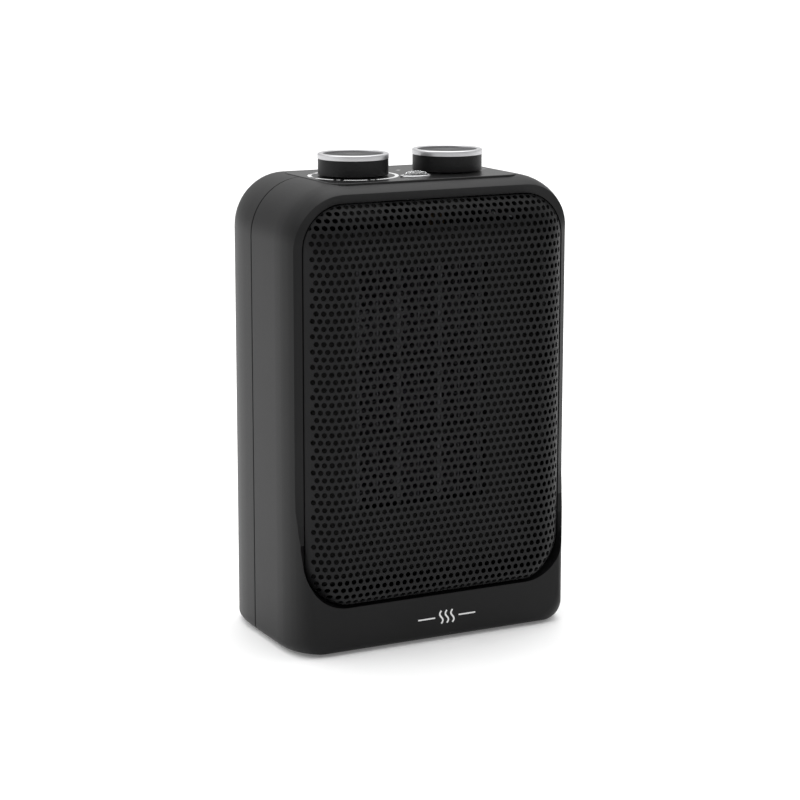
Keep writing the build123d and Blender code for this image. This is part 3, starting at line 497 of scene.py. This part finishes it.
def perforated_sheet():
    """The bent sheet with every punched hole, as one closed mesh."""
    cell_u = np.array([-2, 0, 2, 2, 2, 0, -2, -2]) * PITCH / 4
    cell_v = np.array([-2, -2, -2, 0, 2, 2, 2, 0]) * PITCH / 4
    angles = [atan2(v, u) for u, v in zip(cell_u, cell_v)]
    hole_angles = [angles[0] + pi / 8 * k for k in range(16)]
    us, vs, faces, walls = [], [], [], []
    for row in range(-10, 53):
        middle_v = ROW_LENGTH + PITCH * (NAMED_ROW - row)
        punched_row = PUNCHED_LOW < middle_v < PUNCHED_HIGH
        shift = PITCH / 2 if row % 2 else 0.0
        for column in range(-3, 41):
            middle_u = FIRST_COLUMN + shift + PITCH * column
            punched = punched_row and 0 <= column < COLUMNS
            start = len(us)
            us.extend(middle_u + cell_u)
            vs.extend(middle_v + cell_v)
            if not punched:
                faces.append(tuple(range(start, start + 8)))
                continue
            us.extend(middle_u + HOLE_RADIUS * cos(a) for a in hole_angles)
            vs.extend(middle_v + HOLE_RADIUS * sin(a) for a in hole_angles)
            for k in range(8):
                outer, nearby = start + k, start + (k + 1) % 8
                h0 = start + 8 + 2 * k
                h1 = start + 8 + (2 * k + 1) % 16
                h2 = start + 8 + (2 * k + 2) % 16
                faces.append((outer, nearby, h1, h0))
                faces.append((nearby, h2, h1))
                walls.extend(((h0, h1), (h1, h2)))
    x, z = unroll_to_face(np.array(us), np.array(vs))
    x, z, beyond = kept_inside(x, z)
    count = len(x)
    outer = np.stack(sheet_surface(x, z, 0.0), 1)
    inner = np.stack(sheet_surface(x, z, SHEET), 1)
    points = [tuple(p) for p in np.concatenate([outer, inner])]
    solid = []
    for face in faces:
        if all(beyond[i] > -1e-4 for i in face):
            continue
        solid.append(face)
        solid.append(tuple(i + count for i in reversed(face)))
    for a, b in walls:
        if beyond[a] < -1e-4 or beyond[b] < -1e-4:
            solid.append((a, b, b + count, a + count))
    return points, solid


def sheet_flange():
    """Plain edge of the sheet, going straight back into the opening."""
    flat = outline(EDGE[0], EDGE[1], EDGE[2], CORNER_EDGE, CORNER_EDGE)
    inner = outline(EDGE[0] - SHEET, EDGE[1] + SHEET, EDGE[2] - SHEET, CORNER_EDGE - SHEET,
                    CORNER_EDGE - SHEET)
    x = np.array([p[0] for p in flat]) * JUST_INSIDE
    z = np.array([p[1] for p in flat])
    depth = SHEET_FRONT + dome_depth(x, z)
    back = sheet_high.y
    rings = [[(u, d, v) for (u, v), d in zip(flat, depth)], [(u, back, v) for u, v in flat],
             [(u, back, v) for u, v in inner], [(u, d + 0.3, v) for (u, v), d in zip(inner, depth)]]
    return bridge(rings, closed=True)


sheet_piece = place("perforated_sheet", *joined(perforated_sheet(), sheet_flange()), "housing",
                    "grille_paint", 40)
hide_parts("front_grille")


# ---------------------------------------------------------------- knobs
def knob(control):
    body = f"{control}_knob"
    low, high = cad(f"{control}_knob_rim")
    base, _ = cad(f"{control}_knob_body")
    x, y = (low.x + high.x) / 2, (low.y + high.y) / 2
    radius, top, foot = (high.x - low.x) / 2, high.z, base.z
    grip_top = low.z
    grip = [(radius - 2.4, foot), (radius - 0.75, foot), (radius - 0.35, foot + 0.15),
            (radius - 0.2, foot + 0.45)]
    rows = 12
    pitch = (grip_top - 0.35 - foot - 0.6) / rows
    for row in range(rows):
        z = foot + 0.6 + row * pitch
        grip += [(radius - 0.2, z), (radius - 0.2, z + 0.5 * pitch), (radius - 0.42, z + 0.62 * pitch),
                 (radius - 0.42, z + 0.86 * pitch)]
    grip += [(radius - 0.2, grip_top - 0.33), (radius - 0.2, grip_top - 0.12), (radius - 0.45, grip_top),
             (5.5, grip_top), (radius - 1.0, grip_top), (radius - 2.0, grip_top - 0.2),
             (radius - 2.4, grip_top - 1.8)]
    grip_piece = place(f"{control}_grip", *lathe(grip, x, y), body, "knob_plastic", 25)
    disc_low = foot + 0.5
    hub = [(5.5, disc_low), (5.5, grip_top - 1.0), (radius - 2.3, grip_top - 1.0),
           (radius - 2.3, grip_top - 0.1), (3.05, grip_top - 0.1), (3.05, disc_low)]
    place(f"{control}_hub", *lathe(hub, x, y), body, "knob_plastic", 25)
    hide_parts(f"{control}_knob_body")
    rim = []
    for i in range(9):
        a = pi / 2 * i / 8
        rim.append((radius - 0.75 + 0.75 * cos(a), top - 0.75 + 0.75 * sin(a)))
    for i in range(7):
        a = pi / 2 + pi / 2 * i / 6
        rim.append((radius - RIM_WIDTH + 0.5 + 0.5 * cos(a), top - 0.5 + 0.5 * sin(a)))
    rim += [(radius - RIM_WIDTH, grip_top + 0.05), (radius - 0.12, grip_top), (radius, grip_top + 0.12)]
    rim_piece = place(f"{control}_bright_rim", *lathe(rim, x, y, 128), body, "bright_trim", 40)
    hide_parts(f"{control}_knob_rim")
    return x, y, radius


mode_x, mode_y, knob_radius = knob("mode")
thermostat_x, thermostat_y, _ = knob("thermostat")


# ---------------------------------------------------------------- indicator lens
def lens():
    """Clear oval lens: a faceted dome on a short neck."""
    low, high = cad("indicator_lens")
    x, y = (low.x + high.x) / 2, (low.y + high.y) / 2
    half_x, half_y = (high.x - low.x) / 2, (high.y - low.y) / 2
    seat = panel_high.z + 0.02
    rise = high.z - seat
    count = 20
    rings = []
    for share, height, turn in ((1.0, 0.0, 0), (0.99, 0.22, 0), (0.86, 0.55, 0.5), (0.62, 0.83, 0),
                                (0.34, 0.97, 0.5)):
        rings.append([(x + half_x * share * cos(2 * pi * (i + turn) / count),
                       y + half_y * share * sin(2 * pi * (i + turn) / count), seat + rise * height)
                      for i in range(count)])
    under = [[(x + (half_x - 1.2) * cos(2 * pi * i / count), y + (half_y - 1.2) * sin(2 * pi * i / count), z)
              for i in range(count)] for z in (seat, low.z)]
    points, faces = bridge([under[1], under[0]] + rings)
    top = len(points)
    points.append((x, y, high.z))
    last = top - count
    faces += [(last + i, last + (i + 1) % count, top) for i in range(count)]
    faces.append(tuple(range(count)))
    return points, faces


lens_piece = place("faceted_lens", *lens(), "housing", "clear_lens", 8)
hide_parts("indicator_lens")


def bezel():
    """Bright oval ring round the lens, rounded on top."""
    low, high = cad("lens_bezel")
    x, y = (low.x + high.x) / 2, (low.y + high.y) / 2
    half_x, half_y = (high.x - low.x) / 2, (high.y - low.y) / 2
    tall = high.z - low.z
    rings = []
    for inset, height in ((0.0, 0.0), (0.0, 0.45), (0.12, 0.75), (0.35, 0.95), (0.65, 1.0), (0.95, 0.95),
                          (1.18, 0.75), (1.28, 0.45), (1.28, 0.0)):
        rings.append([(x + (half_x - inset) * cos(2 * pi * i / 72),
                       y + (half_y - inset) * sin(2 * pi * i / 72),
                       low.z + tall * height) for i in range(72)])
    return bridge(rings, closed=True)


bezel_piece = place("oval_bezel", *bezel(), "housing", "bright_trim", 40)
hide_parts("lens_bezel")


# ---------------------------------------------------------------- printing
PRINT = 0.03


def ribbon(line, width, low, high, along):
    """A flat strip of a width along a line of points."""
    left, right = [], []
    for i, (u, v) in enumerate(line):
        before = line[max(i - 1, 0)]
        after = line[min(i + 1, len(line) - 1)]
        du, dv = after[0] - before[0], after[1] - before[1]
        length = sqrt(du * du + dv * dv)
        nu, nv = -dv / length * width / 2, du / length * width / 2
        left.append((u + nu, v + nv))
        right.append((u - nu, v - nv))
    count = len(line)
    points = [along(u, v, h) for h in (low, high) for u, v in left + right]
    faces = []
    for k in range(count - 1):
        a, b, c, d = k, k + 1, count + k + 1, count + k
        faces.append((a, b, c, d))
        faces.append(tuple(i + 2 * count for i in (d, c, b, a)))
        faces.append((a, a + 2 * count, b + 2 * count, b))
        faces.append((d, c, c + 2 * count, d + 2 * count))
    for a, d in ((0, count), (count - 1, 2 * count - 1)):
        faces.append((a, d, d + 2 * count, a + 2 * count))
    return points, faces


def arc(x, y, radius, start, end, steps=24):
    """Points along an arc, angles in degrees."""
    return [(x + radius * cos(radians(start + (end - start) * i / steps)),
             y + radius * sin(radians(start + (end - start) * i / steps))) for i in range(steps + 1)]


def panel_printing():
    """Ring of the mode knob with a gap and a small mark at each of its four positions."""
    low, high = panel_high.z, panel_high.z + PRINT
    strips = []
    ring = knob_radius + 4.3
    stops = [-90, -135, -180, -225]
    for start, end in ((-90, -135), (-135, -180), (-180, -225), (-225, -450)):
        strips.append(ribbon(arc(mode_x, mode_y, ring, start - 7, end + 7, 30), 2.1, low, high, upright))
    for index, stop in enumerate(stops):
        cx = mode_x + ring * cos(radians(stop))
        cy = mode_y + ring * sin(radians(stop))
        if index == 0:
            strips.append(ribbon(arc(cx, cy, 0.9, 0, 359, 24), 0.45, low, high, upright))
        elif index == 1:
            for leaf in range(3):
                blade = arc(cx, cy, 0.7, leaf * 120, leaf * 120 + 70, 8)
                strips.append(ribbon(blade, 0.8, low, high, upright))
        else:
            for stroke in range(index - 1):
                shift = (stroke - (index - 2) / 2) * 0.9
                bar = [(cx + shift, cy - 1.1), (cx + shift, cy + 1.1)]
                strips.append(ribbon(bar, 0.45, low, high, upright))
    far = knob_radius + 3.2
    right = (thermostat_x + far * cos(radians(-4)), thermostat_y + far * sin(radians(-4)))
    strips.append(ribbon([(right[0] - 1.2, right[1]), (right[0] + 1.2, right[1])], 0.5, low, high, upright))
    far = knob_radius + 7.5
    left = (thermostat_x + far * cos(radians(150)), thermostat_y + far * sin(radians(150)))
    strips.append(ribbon([(left[0] - 1.2, left[1]), (left[0] + 1.2, left[1])], 0.5, low, high, upright))
    strips.append(ribbon([(left[0], left[1] + 0.3), (left[0], left[1] + 1.2)], 0.5, low, high, upright))
    strips.append(ribbon([(left[0], left[1] - 1.2), (left[0], left[1] - 0.3)], 0.5, low, high, upright))
    return joined(*strips)


printed = [place("panel_printing", *panel_printing(), "housing")]


def front_mark():
    """Plain warm-air sign on the chin: three rising waves between two thin bars."""
    low, high = FACE - PRINT, FACE + 0.01
    centre_x, centre_z = 5.0, 13.2
    strips = []
    for index in (-1, 0, 1):
        line = []
        for i in range(25):
            t = i / 24
            line.append((centre_x + index * 3.4 + 0.95 * sin(2 * pi * t), centre_z + (t - 0.5) * 7.2))
        strips.append(ribbon(line, 0.95, low, high, lying))
    for side in (-1, 1):
        dash = [(centre_x + side * 7.2, centre_z), (centre_x + side * 17.5, centre_z)]
        strips.append(ribbon(dash, 0.8, low, high, lying))
    return joined(*strips)


printed.append(place("warm_air_sign", *front_mark(), "housing"))


# ---------------------------------------------------------------- materials
def shader(name, colour, rough, metallic=0.0, grain=900.0, bump=0.05, mottle=0.12, spread=0.08,
           stretch=(1, 1, 1), level=0.5, **sockets):
    """Procedural surface: slow colour variation, fine grain in the roughness and a fine relief."""
    material = bpy.data.materials.new(name)
    material.use_nodes = True
    nodes, links = material.node_tree.nodes, material.node_tree.links
    surface = nodes["Principled BSDF"]
    where = nodes.new("ShaderNodeTexCoord")
    scale = nodes.new("ShaderNodeMapping")
    scale.inputs["Scale"].default_value = stretch
    links.new(where.outputs["Object"], scale.inputs["Vector"])
    slow = nodes.new("ShaderNodeTexNoise")
    slow.inputs["Scale"].default_value = 38.0
    slow.inputs["Detail"].default_value = 5.0
    links.new(scale.outputs["Vector"], slow.inputs["Vector"])
    ramp = nodes.new("ShaderNodeValToRGB")
    dark = [c * (1 - mottle) for c in colour]
    pale = [min(1.0, c * (1 + mottle)) for c in colour]
    ramp.color_ramp.elements[0].position = 0.3
    ramp.color_ramp.elements[0].color = (*dark, 1)
    ramp.color_ramp.elements[1].position = 0.7
    ramp.color_ramp.elements[1].color = (*pale, 1)
    links.new(slow.outputs["Fac"], ramp.inputs["Fac"])
    links.new(ramp.outputs["Color"], surface.inputs["Base Color"])
    fine = nodes.new("ShaderNodeTexNoise")
    fine.inputs["Scale"].default_value = grain
    fine.inputs["Detail"].default_value = 3.0
    links.new(scale.outputs["Vector"], fine.inputs["Vector"])
    roughness = nodes.new("ShaderNodeMapRange")
    roughness.inputs["To Min"].default_value = max(0.0, rough - spread)
    roughness.inputs["To Max"].default_value = min(1.0, rough + spread)
    links.new(fine.outputs["Fac"], roughness.inputs["Value"])
    links.new(roughness.outputs["Result"], surface.inputs["Roughness"])
    relief = nodes.new("ShaderNodeBump")
    relief.inputs["Strength"].default_value = bump
    relief.inputs["Distance"].default_value = 0.0002
    links.new(fine.outputs["Fac"], relief.inputs["Height"])
    links.new(relief.outputs["Normal"], surface.inputs["Normal"])
    surface.inputs["Metallic"].default_value = metallic
    surface.inputs["Specular IOR Level"].default_value = level
    for socket, value in sockets.items():
        surface.inputs[socket.replace("_", " ")].default_value = value
    return material


looks = {
    "shell_plastic": shader("shell_plastic", (0.0050, 0.0050, 0.0053), 0.42, grain=2600, bump=0.10,
                            level=0.19),
    "panel_plastic": shader("panel_plastic", (0.006, 0.006, 0.0063), 0.32, grain=1200, bump=0.03, level=0.25),
    "grille_paint": shader("grille_paint", (0.0085, 0.0085, 0.009), 0.46, grain=3200, bump=0.16, level=0.16),
    "intake_plastic": shader("intake_plastic", (0.010, 0.010, 0.0105), 0.5, grain=2200, bump=0.12),
    "knob_plastic": shader("knob_plastic", (0.009, 0.009, 0.0095), 0.42, grain=2400, bump=0.08, level=0.3),
    "knob_disc": shader("knob_disc", (0.035, 0.035, 0.037), 0.42, metallic=0.4, level=0.2, grain=1800,
                        bump=0.08, Anisotropic=0.5),
    "bright_trim": shader("bright_trim", (0.60, 0.60, 0.61), 0.34, metallic=1.0, grain=700, bump=0.01,
                          mottle=0.03, spread=0.03),
    "clear_lens": shader("clear_lens", (0.95, 0.96, 0.97), 0.04, grain=500, bump=0.02, mottle=0.02,
                         spread=0.03, Transmission_Weight=0.92, IOR=1.49),
    "lamp_glass": shader("lamp_glass", (0.95, 0.72, 0.55), 0.08, grain=400, bump=0.02,
                         Transmission_Weight=0.6),
    "pale_plastic": shader("pale_plastic", (0.022, 0.021, 0.02), 0.5, grain=1600, bump=0.08, mottle=0.06,
                           level=0.25),
    "zinc_steel": shader("zinc_steel", (0.55, 0.56, 0.58), 0.34, metallic=1.0, grain=1100, bump=0.08,
                         mottle=0.1),
    "shaft_steel": shader("shaft_steel", (0.58, 0.58, 0.6), 0.22, metallic=1.0, grain=900, bump=0.06,
                          stretch=(1, 1, 12)),
    # The fins' colour is set far darker than bare aluminium: painted shade standing in for the dark inside of
    # the heater core.
    "fin_aluminium": shader("fin_aluminium", (0.10, 0.10, 0.105), 0.5, metallic=0.9, grain=800, bump=0.08,
                            level=0.2),
    "tile_ceramic": shader("tile_ceramic", (0.06, 0.057, 0.054), 0.75, grain=1500, bump=0.12, level=0.2),
    "frame_plastic": shader("frame_plastic", (0.008, 0.0075, 0.007), 0.6, grain=1800, bump=0.1, level=0.2),
    "fan_plastic": shader("fan_plastic", (0.03, 0.03, 0.032), 0.42, grain=1500, bump=0.08),
    "laminations": shader("laminations", (0.3, 0.3, 0.31), 0.42, metallic=0.9, grain=600, bump=0.3,
                          stretch=(1, 14, 1)),
    "copper_winding": shader("copper_winding", (0.45, 0.16, 0.06), 0.32, metallic=0.8, grain=700, bump=0.35,
                             stretch=(14, 1, 1)),
    "bush_bronze": shader("bush_bronze", (0.5, 0.33, 0.16), 0.4, metallic=1.0, grain=1400, bump=0.12),
    "foot_rubber": shader("foot_rubber", (0.014, 0.014, 0.014), 0.72, grain=1800, bump=0.2),
    "spring_steel": shader("spring_steel", (0.5, 0.5, 0.52), 0.28, metallic=1.0, grain=900, bump=0.04),
    "printing": shader("printing", (0.82, 0.82, 0.82), 0.55, grain=2600, bump=0.05, mottle=0.03),
}

material_slots = {part["node"]: part["material_slot"] for part in frame["record"]["subparts"]}
for node, piece in frame["nodes"].items():
    piece.data.materials.clear()
    piece.data.materials.append(looks[material_slots[node]])
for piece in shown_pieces():
    if "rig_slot" in piece:
        piece.data.materials.append(looks[piece["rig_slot"]])
for piece in printed:
    piece.data.materials.append(looks["printing"])

# ---------------------------------------------------------------- floor, light and camera
floor_mesh = bpy.data.meshes.new("floor")
floor_mesh.from_pydata([(-12, -6, 0), (16, -6, 0), (16, 20, 0), (-12, 20, 0)], [], [(0, 1, 2, 3)])
floor = bpy.data.objects.new("floor", floor_mesh)
bpy.context.scene.collection.objects.link(floor)
floor.data.materials.append(shader("floor", (0.93, 0.93, 0.93), 0.6, grain=60, bump=0.0, mottle=0.01,
                                   Emission_Color=(1, 1, 1, 1), Emission_Strength=0.14))

world = bpy.data.worlds.new("studio")
world.use_nodes = True
bpy.context.scene.world = world
sky = world.node_tree.nodes
background = sky["Background"]
direction = sky.new("ShaderNodeTexCoord")
split = sky.new("ShaderNodeSeparateXYZ")
world.node_tree.links.new(direction.outputs["Generated"], split.inputs["Vector"])
depth = sky.new("ShaderNodeMapRange")
depth.interpolation_type = "SMOOTHSTEP"
depth.inputs["From Min"].default_value = -0.7
depth.inputs["From Max"].default_value = 0.5
depth.inputs["To Min"].default_value = 0.28
depth.inputs["To Max"].default_value = 0.72
world.node_tree.links.new(split.outputs["Y"], depth.inputs["Value"])
above = sky.new("ShaderNodeMapRange")
above.interpolation_type = "SMOOTHSTEP"
above.inputs["From Min"].default_value = 0.25
above.inputs["From Max"].default_value = 1.0
above.inputs["To Min"].default_value = 0.0
above.inputs["To Max"].default_value = 1.02
world.node_tree.links.new(split.outputs["Z"], above.inputs["Value"])
total = sky.new("ShaderNodeMath")
total.operation = "ADD"
world.node_tree.links.new(depth.outputs["Result"], total.inputs[0])
world.node_tree.links.new(above.outputs["Result"], total.inputs[1])
world.node_tree.links.new(total.outputs["Value"], background.inputs["Strength"])
background.inputs["Color"].default_value = (1, 1, 1, 1)


def area_light(name, place_at, aim_at, size, power):
    """A square soft light aimed at a point."""
    data = bpy.data.lights.new(name, "AREA")
    data.size = size
    data.energy = power
    light = bpy.data.objects.new(name, data)
    light.location = place_at
    light.rotation_euler = (Vector(aim_at) - Vector(place_at)).to_track_quat("-Z", "Y").to_euler()
    bpy.context.scene.collection.objects.link(light)


area_light("key", (-2.2, 0.3, 1.9), (0, 0, 0.12), 1.6, 8)
area_light("top", (0.4, 0.4, 2.6), (0, 0, 0.1), 2.2, 26)

YAW, PITCH_DOWN, ROLL = radians(26.907), radians(10.722), radians(0.048)
forward = Vector((sin(YAW) * cos(PITCH_DOWN), cos(YAW) * cos(PITCH_DOWN), -sin(PITCH_DOWN)))
right = Vector((cos(YAW), -sin(YAW), 0))
up = right.cross(forward)
camera_data = bpy.data.cameras.new("camera")
camera_data.lens = 2233.14 * 36 / 800
camera_data.shift_x = 0.00565
camera_data.shift_y = -0.0616
camera_data.clip_start = 0.05
camera = bpy.data.objects.new("camera", camera_data)
turned = Matrix((right, up, -forward)).transposed().to_4x4()
camera.matrix_world = Matrix.Translation((-0.5462, -1.0708, 0.3799)) @ turned @ Matrix.Rotation(ROLL, 4, "Z")
bpy.context.scene.collection.objects.link(camera)
bpy.context.scene.camera = camera
bpy.context.scene.view_settings.view_transform = "Standard"
